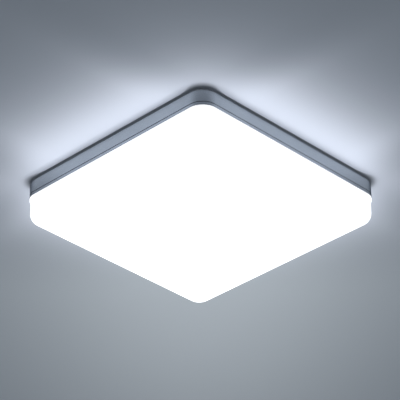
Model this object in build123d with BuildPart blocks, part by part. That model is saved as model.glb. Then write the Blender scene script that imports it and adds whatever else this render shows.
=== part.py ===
"""Square flush LED ceiling light, built as separate pieces, in millimetres.

The ceiling is the plane z = 0 and the light hangs below it, so +Z points up into
the ceiling. X and Y run along the sides of the square.
"""
import os
from math import cos, radians, sin, sqrt

from build123d import *

os.makedirs("parts", exist_ok=True)

# Outer form
side = 300.0
corner_radius = 19.6
ceiling_gap = 3.5
skirt_height = 20.8
skirt_wall = 2.2
skirt_edge_round = 1.8
groove_height = 1.0
groove_depth = 1.1
groove_above_rim = 3.4

# Chassis plate, and the frame on it that carries the ceiling gasket
panel_depth = 17.0
panel_thickness = 0.7
panel_clearance = 0.2
gasket_frame_inset = 9.8
gasket_frame_wall = 3.0
ceiling_gasket_thickness = 2.5

# Stiffening ribs pressed up into the chassis plate
rib_width = 8.0
rib_rise = 1.2
rib_slope = 40.0
rib_pitch = 34.0
rib_from_screws = 30.0
rib_end_gap = 25.0
rib_from_driver = 15.0

# Lugs inside the skirt that the chassis plate is screwed to
lug_offset = 105.0
lug_width = 12.0
lug_reach = 7.0
lug_height = 5.0
lug_screw_edge = 3.5

# Rim gasket between the side frame and the diffuser
rim_gasket_thickness = 0.6
rim_gasket_inset = 0.8
rim_gasket_width = 1.3

# Diffuser
diffuser_depth = 32.8
lip_height = 2.4
lip_step = 1.3
lip_round = 0.6
face_thickness = 2.2
face_edge_radius = 13.0
tongue_clearance = 0.3
tongue_wall = 1.6
tongue_headroom = 2.4
bead_depth = 1.2
bead_height = 1.5

# Spring leaves that hold the diffuser by its bead
leaf_thickness = 0.5
leaf_width = 12.0
leaf_offset = 70.0
leaf_foot = 14.0
leaf_set_back = 0.9
leaf_grip = 0.8
leaf_play = 0.3
leaf_tail = 1.5
leaf_bend = 0.6
leaf_screw_inset = 4.0

# Light board
board_channel = 19.2
board_thickness = 1.6
board_corner = 6.0
board_screw_edge = 8.0
board_screw_gap = 1
led_pitch = 40.0
led_edge = 14.0
led_length = 3.5
led_width = 2.8
led_height = 0.7
phosphor_radius = 1.1
phosphor_depth = 0.3
phosphor_clearance = 0.05
lens_radius = 7.0
lens_rim = 1.2
lens_height = 5.2
lens_dome_radius = 6.0
lens_dimple_radius = 2.0
lens_dimple_depth = 0.9
lens_pocket_radius = 3.0
lens_pocket_depth = 1.4

# Screws: pan heads with a cross recess
screw_head_radius = 2.8
screw_head_height = 1.6
screw_shank_radius = 1.2
screw_clearance = 0.05
cross_length = 3.0
cross_width = 0.7
cross_depth = 0.9
screw_tip_gap = 1.0
blind_cap = 1.0
hole_clearance = 0.2

# Standoffs clinched to the chassis plate
standoff_radius = 3.0
standoff_height = 5.0
ear_standoff_height = 4.0

# Ceiling bracket with its end legs and spring clips
bracket_margin = 27.2
bracket_width = 44.0
bracket_thickness = 1.5
bracket_bend = 2.0
bracket_shoulder = 9.0
leg_width = 24.0
leg_clearance = 2.5
slot_spacing = 120.0
slot_length = 20.0
slot_width = 5.0
cable_hole_radius = 13.0
clip_thickness = 0.5
clip_width = 12.0
clip_seat = 3.6
clip_reach = 3.15
clip_bend = 0.5
rivet_radius = 1.0
rivet_head_radius = 1.5
rivet_head_height = 0.8
rivet_edge = 1.6
rivet_pitch = 7.0
rivet_clearance = 0.05

# Catch hooks on the chassis plate that hang on the bracket clips
hook_width = 24.0
hook_thickness = 1.5
hook_bend = 1.8
hook_foot = 11.0
hook_rise = 10.3
hook_reach = 2.5
hook_gap = 2.4
hook_play = 0.35

# Driver
driver_x = 15.0
driver_margin = 7.8
driver_length = 110.0
driver_width = 34.0
driver_height = 11.0
driver_wall = 1.5
driver_floor = 1.0
driver_corner = 2.0
lid_thickness = 1.5
lid_lip = 1.8
lid_lip_wall = 1.2
lid_clearance = 0.15
lid_recess_length = 72.0
lid_recess_width = 22.0
lid_recess_depth = 0.3
ear_length = 9.0
ear_width = 8.0
ear_thickness = 2.0
ear_edge = 4.0
circuit_thickness = 1.6
circuit_end_gap = 4.5
circuit_side_gap = 0.5
pad_size = 4.0
transformer_length = 18.0
transformer_width = 16.0
transformer_height = 6.0
winding_length = 10.0
winding_width = 20.0
winding_height = 4.4
transformer_x = 12.0
capacitor_radius = 2.9
capacitor_length = 12.0
capacitor_pitch = 8.0
capacitor_x = -24.0

# Terminal block and its two levers
terminal_x = -66.0
terminal_from_driver = 30.0
terminal_length = 20.0
terminal_height = 9.5
terminal_slot = 6.4
terminal_middle_wall = 2.0
terminal_outer_wall = 1.6
supply_hole_radius = 1.5
supply_hole_depth = 6.0
lever_side_gap = 0.3
lever_hub_radius = 1.9
lever_hub_gap = 0.4
lever_axis_drop = 2.4
lever_axis_back = 2.0
lever_reach = 7.5
lever_thickness = 2.0
lever_pin_radius = 1.0
lever_pin_length = 0.7
lever_pin_clearance = 0.05

# Cord clamp
clamp_from_terminal = 12.0
clamp_screw_pitch = 18.0
clamp_gap = 3.6
clamp_length = 25.0
clamp_width = 8.0
clamp_thickness = 2.0
clamp_tooth_height = 0.8
clamp_tooth_width = 1.2

# Wires
wire_rise = 2.6
mains_wire_radius = 1.1
mains_wire_bend = 6.0
led_wire_radius = 0.9
led_wire_pitch = 3.2
led_wire_bend = 3.2
wire_hole_clearance = 0.1
wire_insert = 4.0
wire_hole_spare = 1.0

# Grommet where the LED wires pass the chassis plate
grommet_off_board = 6.5
grommet_bore_radius = 3.2
grommet_neck_radius = 4.2
grommet_flange_radius = 5.0
grommet_flange = 1.0
grommet_clearance = 0.05

# Connector on the light board
connector_off_edge = 4.0
connector_length = 10.0
connector_width = 8.0
connector_height = 3.6

# Levels and outlines that follow from the sizes above
half = side / 2
skirt_top_z = -ceiling_gap
rim_z = skirt_top_z - skirt_height
skirt_inner = half - skirt_wall
panel_top_z = -panel_depth
panel_bottom_z = panel_top_z - panel_thickness
panel_half = skirt_inner - panel_clearance
gasket_outer = half - gasket_frame_inset
gasket_inner = gasket_outer - gasket_frame_wall
lip_top_z = rim_z - rim_gasket_thickness
face_z = lip_top_z - diffuser_depth
tongue_outer = skirt_inner - tongue_clearance
tongue_inner = tongue_outer - tongue_wall
tongue_top_z = panel_bottom_z - tongue_headroom
bead_inner = tongue_inner - bead_depth
bead_bottom_z = tongue_top_z - bead_height
wall_outer = half - lip_step
lip_bottom_z = lip_top_z - lip_height
board_half = gasket_inner - board_channel
board_bottom_z = panel_bottom_z - board_thickness
wire_z = panel_top_z + wire_rise
ear_bottom_z = panel_top_z + ear_standoff_height
ear_top_z = ear_bottom_z + ear_thickness
screw_hole_radius = screw_shank_radius + screw_clearance
pass_hole_radius = screw_shank_radius + hole_clearance
mains_hole_radius = mains_wire_radius + wire_hole_clearance
led_hole_radius = led_wire_radius + wire_hole_clearance


def corner_at(half_width):
    """Corner radius that keeps an inset square concentric with the outer one."""
    return corner_radius - (half - half_width)


def square(half_width, mode=Mode.ADD):
    """Draw the light's rounded square outline at this half width."""
    RectangleRounded(2 * half_width, 2 * half_width, corner_at(half_width), mode=mode)


def side_plane(turn, along):
    """Plane across one side: its X points outwards, its Y up, at a distance along the side."""
    out = Vector(cos(radians(turn)), sin(radians(turn)), 0)
    tangent = Vector(-sin(radians(turn)), cos(radians(turn)), 0)
    return Plane(origin=tangent * along, x_dir=out, z_dir=tangent * -1)


def on_side(turn, out, along, z):
    """Point at this distance out from the centre and along one side."""
    direction = Vector(cos(radians(turn)), sin(radians(turn)), 0)
    tangent = Vector(-sin(radians(turn)), cos(radians(turn)), 0)
    return direction * out + tangent * along + Vector(0, 0, z)


def make_screw(length):
    """Pan head screw: the head's underside lies at z = 0 and the shank points to -Z."""
    with BuildPart() as screw:
        with BuildSketch():
            Circle(screw_head_radius)
        extrude(amount=screw_head_height)
        fillet(screw.edges().group_by(Axis.Z)[-1], screw_head_height / 2)
        with BuildSketch():
            Circle(screw_shank_radius)
        extrude(amount=-length)
        with BuildSketch(Plane.XY.offset(screw_head_height)):
            Rectangle(cross_length, cross_width)
            Rectangle(cross_width, cross_length)
        extrude(amount=-cross_depth, mode=Mode.SUBTRACT)
    return screw.part


turns = (0, 90, 180, 270)

# Positions shared by the chassis and by what is fixed to it
leaf_spots = [(turn, along) for turn in turns for along in (-leaf_offset, leaf_offset)]
leaf_face = bead_inner - leaf_set_back
leaf_screw_out = leaf_face - leaf_foot + leaf_screw_inset
leaf_screw_points = [on_side(turn, leaf_screw_out, along, 0) for turn, along in leaf_spots]
led_count = int((2 * board_half - 2 * led_edge) // led_pitch) + 1
led_start = -led_pitch * (led_count - 1) / 2
board_screw_out = board_half - board_screw_edge
board_screw_along = led_start + board_screw_gap * led_pitch + led_pitch / 2
board_screw_points = [
    on_side(turn, board_screw_out, along, 0)
    for turn in turns
    for along in (board_screw_along, -board_screw_along)
]
driver_y = driver_width / 2 + driver_margin + standoff_radius - board_screw_out
rib_length = 2 * (board_screw_out - rib_end_gap)
rib_north = board_screw_out - rib_from_screws
rib_spots = [
    (0, rib_north, rib_length),
    (0, rib_north - rib_pitch, rib_length),
    (driver_x, driver_y + driver_width / 2 + rib_from_driver, driver_length),
]
driver_west = driver_x - driver_length / 2
driver_east = driver_x + driver_length / 2
ear_shift = driver_width / 2 - ear_width / 2
driver_ears = [
    Vector(driver_west - ear_length + ear_edge, driver_y - ear_shift, 0),
    Vector(driver_east + ear_length - ear_edge, driver_y + ear_shift, 0),
]
terminal_y = driver_y + terminal_from_driver
pole_pitch = terminal_slot + terminal_middle_wall
terminal_width = 2 * terminal_slot + terminal_middle_wall + 2 * terminal_outer_wall
terminal_ear_x = terminal_width / 2 + ear_length - ear_edge
terminal_ears = [
    Vector(terminal_x - terminal_ear_x, terminal_y, 0),
    Vector(terminal_x + terminal_ear_x, terminal_y, 0),
]
clamp_y = terminal_y + terminal_length / 2 + clamp_from_terminal
clamp_points = [
    Vector(terminal_x - clamp_screw_pitch / 2, clamp_y, 0),
    Vector(terminal_x + clamp_screw_pitch / 2, clamp_y, 0),
]
clamp_seat_z = panel_top_z + clamp_gap
grommet_x = board_half + grommet_off_board
leg_face = gasket_inner - bracket_margin
leg_bottom_z = panel_top_z + leg_clearance
hook_face = leg_face + hook_gap
hook_bottom_z = panel_top_z + hook_rise
lug_screw_out = skirt_inner - lug_screw_edge
lug_screw_points = [
    on_side(turn, lug_screw_out, along, 0) for turn in turns for along in (-lug_offset, 0, lug_offset)
]

# Side frame: the grey skirt with its groove, and the lugs for the chassis plate
with BuildPart() as side_frame:
    with BuildSketch(Plane.XY.offset(rim_z)):
        square(half)
        square(skirt_inner, Mode.SUBTRACT)
    extrude(amount=skirt_height)
    top_round = min(skirt_edge_round, 0.9 * skirt_wall)
    fillet(side_frame.faces().sort_by(Axis.Z)[-1].outer_wire().edges(), top_round)
    with BuildSketch(Plane.XY.offset(rim_z + groove_above_rim)):
        square(half + groove_depth)
        square(half - groove_depth, Mode.SUBTRACT)
    extrude(amount=groove_height, mode=Mode.SUBTRACT)
    for turn in turns:
        for along in (-lug_offset, 0, lug_offset):
            with BuildSketch(side_plane(turn, along)):
                with Locations((skirt_inner - lug_reach, panel_top_z)):
                    Rectangle(
                        lug_reach + skirt_wall / 2, lug_height, align=(Align.MIN, Align.MIN)
                    )
            extrude(amount=lug_width / 2, both=True)
    with BuildSketch(Plane.XY.offset(panel_top_z)):
        with Locations(*lug_screw_points):
            Circle(screw_hole_radius)
    extrude(amount=lug_height - blind_cap, mode=Mode.SUBTRACT)
side_frame.part.label = "side_frame"
export_step(side_frame.part, "parts/side_frame.step")

# Chassis plate: a steel sheet under the lugs, with ribs pressed up from below
with BuildPart() as chassis_plate:
    with BuildSketch(Plane.XY.offset(panel_bottom_z)):
        square(panel_half)
        with Locations(*leaf_screw_points, *board_screw_points, *lug_screw_points):
            Circle(pass_hole_radius, mode=Mode.SUBTRACT)
        with Locations((grommet_x, driver_y)):
            Circle(grommet_neck_radius + grommet_clearance, mode=Mode.SUBTRACT)
    extrude(amount=panel_thickness)
    for level, mode in ((panel_top_z, Mode.ADD), (panel_bottom_z, Mode.SUBTRACT)):
        for rib_x, rib_y, length in rib_spots:
            with BuildSketch(Plane.XY.offset(level)):
                with Locations((rib_x, rib_y)):
                    SlotOverall(length, rib_width)
            extrude(amount=rib_rise, taper=rib_slope, mode=mode)
chassis_plate.part.label = "chassis_plate"
export_step(chassis_plate.part, "parts/chassis_plate.step")

# Screws that hold the chassis plate to the lugs
frame_screw = make_screw(panel_thickness + lug_height - blind_cap - screw_tip_gap)
with BuildPart() as frame_screws:
    for point in lug_screw_points:
        head_plane = Plane(origin=point + Vector(0, 0, panel_bottom_z), z_dir=(0, 0, -1))
        with Locations(head_plane):
            add(frame_screw)
frame_screws.part.label = "frame_screws"
export_step(frame_screws.part, "parts/frame_screws.step")

# Standoffs on the chassis plate: those screwed from below, then those screwed from above
with BuildPart() as chassis_standoffs:
    with BuildSketch(Plane.XY.offset(panel_top_z)):
        with Locations(*leaf_screw_points, *board_screw_points):
            Circle(standoff_radius)
    extrude(amount=standoff_height)
    with BuildSketch(Plane.XY.offset(panel_top_z)):
        with Locations(*leaf_screw_points, *board_screw_points):
            Circle(screw_hole_radius)
    extrude(amount=standoff_height - blind_cap, mode=Mode.SUBTRACT)
    with BuildSketch(Plane.XY.offset(panel_top_z)):
        with Locations(*driver_ears, *terminal_ears):
            Circle(standoff_radius)
            Circle(screw_hole_radius, mode=Mode.SUBTRACT)
    extrude(amount=ear_standoff_height)
    with BuildSketch(Plane.XY.offset(panel_top_z)):
        with Locations(*clamp_points):
            Circle(standoff_radius)
            Circle(screw_hole_radius, mode=Mode.SUBTRACT)
    extrude(amount=clamp_gap)
chassis_standoffs.part.label = "chassis_standoffs"
export_step(chassis_standoffs.part, "parts/chassis_standoffs.step")

# Catch hooks: bent steel strips, each with a foot, a wall and a lip over a bracket clip
hook_wall = hook_face + hook_reach + hook_thickness / 2
hook_foot_z = panel_top_z + hook_thickness / 2
hook_lip_z = hook_bottom_z + hook_thickness / 2
with BuildPart() as catch_hooks:
    for turn in (0, 180):
        with BuildSketch(side_plane(turn, 0)):
            with BuildLine():
                FilletPolyline(
                    (hook_wall + hook_foot, hook_foot_z),
                    (hook_wall, hook_foot_z),
                    (hook_wall, hook_lip_z),
                    (hook_face, hook_lip_z),
                    radius=hook_bend,
                )
            trace(line_width=hook_thickness)
        extrude(amount=hook_width / 2, both=True)
catch_hooks.part.label = "catch_hooks"
export_step(catch_hooks.part, "parts/catch_hooks.step")

# Gasket frame: a ring on the chassis plate
with BuildPart() as gasket_frame:
    with BuildSketch(Plane.XY.offset(panel_top_z)):
        square(gasket_outer)
        square(gasket_inner, Mode.SUBTRACT)
    extrude(amount=panel_depth - ceiling_gasket_thickness)
gasket_frame.part.label = "gasket_frame"
export_step(gasket_frame.part, "parts/gasket_frame.step")

# Foam gasket on its frame, pressed against the ceiling
with BuildPart() as ceiling_gasket:
    with BuildSketch(Plane.XY.offset(-ceiling_gasket_thickness)):
        square(gasket_outer)
        square(gasket_inner, Mode.SUBTRACT)
    extrude(amount=ceiling_gasket_thickness)
ceiling_gasket.part.label = "ceiling_gasket"
export_step(ceiling_gasket.part, "parts/ceiling_gasket.step")

# Silicone gasket under the skirt's rim
with BuildPart() as rim_gasket:
    with BuildSketch(Plane.XY.offset(lip_top_z)):
        square(half - rim_gasket_inset)
        square(half - rim_gasket_inset - rim_gasket_width, Mode.SUBTRACT)
    extrude(amount=rim_gasket_thickness)
rim_gasket.part.label = "rim_gasket"
export_step(rim_gasket.part, "parts/rim_gasket.step")

# Hollow inside the diffuser, cut from it below
with BuildPart() as hollow:
    with BuildSketch(Plane.XY.offset(face_z + face_thickness)):
        square(tongue_inner)
    extrude(amount=bead_bottom_z - face_z - face_thickness)
    inner_edge_radius = face_edge_radius - (wall_outer - tongue_inner)
    fillet(hollow.faces().sort_by(Axis.Z)[0].edges(), inner_edge_radius)

# Diffuser: lip level with the skirt, step, wall, soft-edged face, tongue with a bead
with BuildPart() as diffuser:
    with BuildSketch(Plane.XY.offset(lip_top_z)):
        square(half)
    extrude(amount=-lip_height)
    with BuildSketch(Plane.XY.offset(lip_bottom_z)):
        square(wall_outer)
    extrude(amount=face_z - lip_bottom_z)
    fillet(diffuser.faces().sort_by(Axis.Z)[0].edges(), face_edge_radius)
    step_face = diffuser.faces().filter_by(Plane.XY).filter_by_position(
        Axis.Z, lip_bottom_z - lip_round / 2, lip_bottom_z + lip_round / 2
    )[0]
    step_round = min(lip_round, 0.45 * lip_step)
    fillet(step_face.edges(), step_round)
    with BuildSketch(Plane.XY.offset(lip_top_z)):
        square(tongue_outer)
    extrude(amount=tongue_top_z - lip_top_z)
    add(hollow.part, mode=Mode.SUBTRACT)
    with BuildSketch(Plane.XY.offset(bead_bottom_z)):
        square(bead_inner)
    extrude(amount=bead_height, mode=Mode.SUBTRACT)
    chamfer(diffuser.faces().sort_by(Axis.Z)[-1].inner_wires()[0].edges(), bead_depth / 2)
diffuser.part.label = "diffuser"
export_step(diffuser.part, "parts/diffuser.step")

# Spring leaves: foot under the chassis plate, leg down, a bump under the diffuser's bead, a tail
leaf_line = leaf_face - leaf_thickness / 2
foot_line_z = panel_bottom_z - leaf_thickness / 2
bump_out = leaf_grip + leaf_set_back
bump_bite = leaf_line + bump_out - bead_inner
bump_z = bead_bottom_z - leaf_play - bump_bite - leaf_thickness / sqrt(2)
with BuildPart() as diffuser_clips:
    for turn, along in leaf_spots:
        with BuildSketch(side_plane(turn, along)):
            with BuildLine():
                FilletPolyline(
                    (leaf_face - leaf_foot, foot_line_z),
                    (leaf_line, foot_line_z),
                    (leaf_line, bump_z + bump_out),
                    (leaf_line + bump_out, bump_z),
                    (leaf_line + bump_out - leaf_tail, bump_z - leaf_tail),
                    radius=leaf_bend,
                )
            trace(line_width=leaf_thickness)
        extrude(amount=leaf_width / 2, both=True)
    with BuildSketch(Plane.XY.offset(panel_bottom_z)):
        with Locations(*leaf_screw_points):
            Circle(pass_hole_radius)
    extrude(amount=-leaf_thickness, mode=Mode.SUBTRACT)
diffuser_clips.part.label = "diffuser_clips"
export_step(diffuser_clips.part, "parts/diffuser_clips.step")

# Screws through the feet of the spring leaves
blind_depth = standoff_height - blind_cap - screw_tip_gap
leaf_screw = make_screw(leaf_thickness + panel_thickness + blind_depth)
with BuildPart() as diffuser_clip_screws:
    for point in leaf_screw_points:
        head_plane = Plane(
            origin=point + Vector(0, 0, panel_bottom_z - leaf_thickness), z_dir=(0, 0, -1)
        )
        with Locations(head_plane):
            add(leaf_screw)
diffuser_clip_screws.part.label = "diffuser_clip_screws"
export_step(diffuser_clip_screws.part, "parts/diffuser_clip_screws.step")

# Light board: aluminium sheet under the chassis plate
led_line = [led_start + led_pitch * index for index in range(led_count)]
led_points = [(x, y, board_bottom_z) for x in led_line for y in led_line]
with BuildPart() as led_board:
    with BuildSketch(Plane.XY.offset(board_bottom_z)):
        RectangleRounded(2 * board_half, 2 * board_half, board_corner)
        with Locations(*board_screw_points):
            Circle(pass_hole_radius, mode=Mode.SUBTRACT)
    extrude(amount=board_thickness)
led_board.part.label = "led_board"
export_step(led_board.part, "parts/led_board.step")

# Screws that hold the light board
board_screw = make_screw(board_thickness + panel_thickness + blind_depth)
with BuildPart() as board_screws:
    for point in board_screw_points:
        head_plane = Plane(origin=point + Vector(0, 0, board_bottom_z), z_dir=(0, 0, -1))
        with Locations(head_plane):
            add(board_screw)
board_screws.part.label = "board_screws"
export_step(board_screws.part, "parts/board_screws.step")

# LED packages, each with a cup for its phosphor
with BuildPart() as led_packages:
    with BuildSketch(Plane.XY.offset(board_bottom_z)):
        with Locations(*[(x, y) for x, y, z in led_points]):
            Rectangle(led_length, led_width)
    extrude(amount=-led_height)
    with BuildSketch(Plane.XY.offset(board_bottom_z - led_height)):
        with Locations(*[(x, y) for x, y, z in led_points]):
            Circle(phosphor_radius)
    extrude(amount=phosphor_depth, mode=Mode.SUBTRACT)
led_packages.part.label = "led_packages"
export_step(led_packages.part, "parts/led_packages.step")

# Phosphor filling in the cups
with BuildPart() as led_phosphor:
    with BuildSketch(Plane.XY.offset(board_bottom_z - led_height + phosphor_depth)):
        with Locations(*[(x, y) for x, y, z in led_points]):
            Circle(phosphor_radius - phosphor_clearance)
    extrude(amount=-phosphor_depth)
led_phosphor.part.label = "led_phosphor"
export_step(led_phosphor.part, "parts/led_phosphor.step")

# One lens cap: a dimpled dome over a pocket for the package
with BuildPart() as lens:
    with BuildSketch(Plane.XZ):
        with BuildLine():
            Line((lens_pocket_radius, 0), (lens_radius, 0))
            Line((lens_radius, 0), (lens_radius, -lens_rim))
            RadiusArc((lens_radius, -lens_rim), (lens_dimple_radius, -lens_height), lens_dome_radius)
            Line((lens_dimple_radius, -lens_height), (0, -lens_height + lens_dimple_depth))
            Line((0, -lens_height + lens_dimple_depth), (0, -lens_pocket_depth))
            Line((0, -lens_pocket_depth), (lens_pocket_radius, -lens_pocket_depth))
            Line((lens_pocket_radius, -lens_pocket_depth), (lens_pocket_radius, 0))
        make_face()
    revolve(axis=Axis.Z)

# Lens caps over the LED packages
with BuildPart() as led_lenses:
    with Locations(*led_points):
        add(lens.part)
led_lenses.part.label = "led_lenses"
export_step(led_lenses.part, "parts/led_lenses.step")

# Connector on the light board, open to the LED wires
connector_east = board_half - connector_off_edge
connector_x = connector_east - connector_length / 2
connector_wire_z = board_bottom_z - connector_height / 2
led_wire_ys = (driver_y - led_wire_pitch / 2, driver_y + led_wire_pitch / 2)
with BuildPart() as led_connector:
    with BuildSketch(Plane.XY.offset(board_bottom_z)):
        with Locations((connector_x, driver_y)):
            Rectangle(connector_length, connector_width)
    extrude(amount=-connector_height)
    chamfer(led_connector.edges().filter_by(Axis.Y).group_by(Axis.Z)[0], led_hole_radius / 2)
    with BuildSketch(Plane.YZ.offset(connector_east)):
        with Locations(*[(y, connector_wire_z) for y in led_wire_ys]):
            Circle(led_hole_radius)
    extrude(amount=-wire_insert - wire_hole_spare, mode=Mode.SUBTRACT)
led_connector.part.label = "led_connector"
export_step(led_connector.part, "parts/led_connector.step")

# Ceiling bracket: a strap with slots and a cable hole, bent down at both ends
strap_line_z = -bracket_thickness / 2
leg_line = leg_face - bracket_thickness / 2
with BuildPart() as mounting_bracket:
    with BuildSketch(Plane.XZ):
        with BuildLine():
            FilletPolyline(
                (-leg_line, leg_bottom_z),
                (-leg_line, strap_line_z),
                (leg_line, strap_line_z),
                (leg_line, leg_bottom_z),
                radius=bracket_bend,
            )
        trace(line_width=bracket_thickness)
    extrude(amount=leg_width / 2, both=True)
    with BuildSketch(Plane.XY.offset(-bracket_thickness)):
        RectangleRounded(2 * (leg_face - bracket_shoulder), bracket_width, bracket_shoulder / 2)
    extrude(amount=bracket_thickness)
    with BuildSketch():
        with Locations((-slot_spacing / 2, 0), (slot_spacing / 2, 0)):
            SlotOverall(slot_length, slot_width)
        Circle(cable_hole_radius)
    extrude(amount=-bracket_thickness, mode=Mode.SUBTRACT)
    rivet_z = leg_bottom_z + rivet_edge
    with BuildSketch(Plane.YZ):
        with Locations((-rivet_pitch / 2, rivet_z), (rivet_pitch / 2, rivet_z)):
            Circle(rivet_radius + rivet_clearance)
    extrude(amount=leg_face, both=True, mode=Mode.SUBTRACT)
mounting_bracket.part.label = "mounting_bracket"
export_step(mounting_bracket.part, "parts/mounting_bracket.step")

# Spring clips riveted to the bracket's legs, each with a bump under a catch hook's lip
clip_line = leg_face + clip_thickness / 2
knee_z = leg_bottom_z + clip_seat
crest_out = leg_face + clip_reach
crest_z = hook_bottom_z - hook_play - (crest_out - hook_face) - clip_thickness / sqrt(2)
clip_end_out = clip_line + clip_thickness
with BuildPart() as bracket_spring_clips:
    for turn in (0, 180):
        with BuildSketch(side_plane(turn, 0)):
            with BuildLine():
                FilletPolyline(
                    (clip_line, leg_bottom_z),
                    (clip_line, knee_z),
                    (crest_out, crest_z),
                    (clip_end_out, crest_z + crest_out - clip_end_out),
                    radius=clip_bend,
                )
            trace(line_width=clip_thickness)
        extrude(amount=clip_width / 2, both=True)
        with BuildSketch(Plane.YZ):
            with Locations((-rivet_pitch / 2, rivet_z), (rivet_pitch / 2, rivet_z)):
                Circle(rivet_radius + rivet_clearance)
        extrude(amount=leg_face + clip_thickness, both=True, mode=Mode.SUBTRACT)
bracket_spring_clips.part.label = "bracket_spring_clips"
export_step(bracket_spring_clips.part, "parts/bracket_spring_clips.step")

# Rivets through the clips and the legs
with BuildPart() as bracket_rivets:
    for turn in (0, 180):
        for along in (-rivet_pitch / 2, rivet_pitch / 2):
            with BuildSketch(side_plane(turn, along)):
                inner = leg_face - bracket_thickness
                outer = leg_face + clip_thickness
                with Locations((inner - rivet_head_height, rivet_z)):
                    Rectangle(
                        rivet_head_height, rivet_head_radius, align=(Align.MIN, Align.MIN)
                    )
                with Locations((inner, rivet_z)):
                    Rectangle(outer - inner, rivet_radius, align=(Align.MIN, Align.MIN))
                with Locations((outer, rivet_z)):
                    Rectangle(
                        rivet_head_height, rivet_head_radius, align=(Align.MIN, Align.MIN)
                    )
            revolve(axis=Axis(on_side(turn, 0, along, rivet_z), on_side(turn, 1, 0, 0)))
bracket_rivets.part.label = "bracket_rivets"
export_step(bracket_rivets.part, "parts/bracket_rivets.step")

# Driver case: an open box with two screw ears, wire holes and board pads
case_top_z = panel_top_z + driver_height
case_floor_z = panel_top_z + driver_floor
case_inner_length = driver_length - 2 * driver_wall
case_inner_width = driver_width - 2 * driver_wall
circuit_length = driver_length - 2 * driver_wall - 2 * circuit_end_gap
circuit_width = case_inner_width - 2 * circuit_side_gap
circuit_bottom_z = wire_z - circuit_thickness / 2
circuit_top_z = wire_z + circuit_thickness / 2
mains_wire_ys = (driver_y + pole_pitch / 2, driver_y - pole_pitch / 2)
pad_x = circuit_length / 2 - pad_size / 2
pad_y = circuit_width / 2 - pad_size / 2
pad_points = [(driver_x + i * pad_x, driver_y + j * pad_y) for i in (-1, 1) for j in (-1, 1)]
with BuildPart() as driver_case:
    with BuildSketch(Plane.XY.offset(panel_top_z)):
        with Locations((driver_x, driver_y)):
            RectangleRounded(driver_length, driver_width, driver_corner)
    extrude(amount=driver_height)
    with BuildSketch(Plane.XY.offset(case_floor_z)):
        with Locations((driver_x, driver_y)):
            Rectangle(case_inner_length, case_inner_width)
    extrude(amount=driver_height, mode=Mode.SUBTRACT)
    with BuildSketch(Plane.XY.offset(ear_bottom_z)):
        with Locations((driver_west, driver_y - ear_shift)):
            Rectangle(2 * ear_length, ear_width)
        with Locations((driver_east, driver_y + ear_shift)):
            Rectangle(2 * ear_length, ear_width)
        with Locations((driver_x, driver_y)):
            Rectangle(case_inner_length + driver_wall, driver_width, mode=Mode.SUBTRACT)
        with Locations(*driver_ears):
            Circle(pass_hole_radius, mode=Mode.SUBTRACT)
    extrude(amount=ear_thickness)
    with BuildSketch(Plane.XY.offset(case_floor_z)):
        with Locations(*pad_points):
            Rectangle(pad_size, pad_size)
    extrude(amount=circuit_bottom_z - case_floor_z)
    with BuildSketch(Plane.YZ.offset(driver_west)):
        with Locations(*[(y, wire_z) for y in mains_wire_ys]):
            Circle(mains_hole_radius)
    extrude(amount=driver_wall, mode=Mode.SUBTRACT)
    with BuildSketch(Plane.YZ.offset(driver_east)):
        with Locations(*[(y, wire_z) for y in led_wire_ys]):
            Circle(led_hole_radius)
    extrude(amount=-driver_wall, mode=Mode.SUBTRACT)
driver_case.part.label = "driver_case"
export_step(driver_case.part, "parts/driver_case.step")

# Driver lid with a locating lip, and a shallow recess on top
with BuildPart() as driver_lid:
    with BuildSketch(Plane.XY.offset(case_top_z)):
        with Locations((driver_x, driver_y)):
            RectangleRounded(driver_length, driver_width, driver_corner)
    extrude(amount=lid_thickness)
    chamfer(driver_lid.faces().sort_by(Axis.Z)[-1].edges(), lid_thickness / 3)
    lip_length = case_inner_length - 2 * lid_clearance
    lip_width = case_inner_width - 2 * lid_clearance
    with BuildSketch(Plane.XY.offset(case_top_z)):
        with Locations((driver_x, driver_y)):
            Rectangle(lip_length, lip_width)
            Rectangle(
                lip_length - 2 * lid_lip_wall, lip_width - 2 * lid_lip_wall, mode=Mode.SUBTRACT
            )
    extrude(amount=-lid_lip)
    with BuildSketch(Plane.XY.offset(case_top_z + lid_thickness)):
        with Locations((driver_x, driver_y)):
            RectangleRounded(lid_recess_length, lid_recess_width, driver_corner)
    extrude(amount=-lid_recess_depth, mode=Mode.SUBTRACT)
driver_lid.part.label = "driver_lid"
export_step(driver_lid.part, "parts/driver_lid.step")

# Circuit board in the driver
with BuildPart() as driver_board:
    with BuildSketch(Plane.XY.offset(circuit_bottom_z)):
        with Locations((driver_x, driver_y)):
            Rectangle(circuit_length, circuit_width)
    extrude(amount=circuit_thickness)
driver_board.part.label = "driver_board"
export_step(driver_board.part, "parts/driver_board.step")

# Transformer: core with a winding that stands out at its sides
with BuildPart() as driver_transformer:
    with BuildSketch(Plane.XY.offset(circuit_top_z)):
        with Locations((driver_x + transformer_x, driver_y)):
            Rectangle(transformer_length, transformer_width)
    extrude(amount=transformer_height)
    with BuildSketch(Plane.XY.offset(circuit_top_z)):
        with Locations((driver_x + transformer_x, driver_y)):
            RectangleRounded(winding_length, winding_width, driver_corner)
    extrude(amount=winding_height)
driver_transformer.part.label = "driver_transformer"
export_step(driver_transformer.part, "parts/driver_transformer.step")

# Capacitors lying on the circuit board
with BuildPart() as driver_capacitors:
    for step in (-1, 0, 1):
        with BuildSketch(Plane.YZ.offset(driver_x + capacitor_x)):
            with Locations((driver_y + step * capacitor_pitch, circuit_top_z + capacitor_radius)):
                Circle(capacitor_radius)
        extrude(amount=capacitor_length / 2, both=True)
driver_capacitors.part.label = "driver_capacitors"
export_step(driver_capacitors.part, "parts/driver_capacitors.step")

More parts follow.
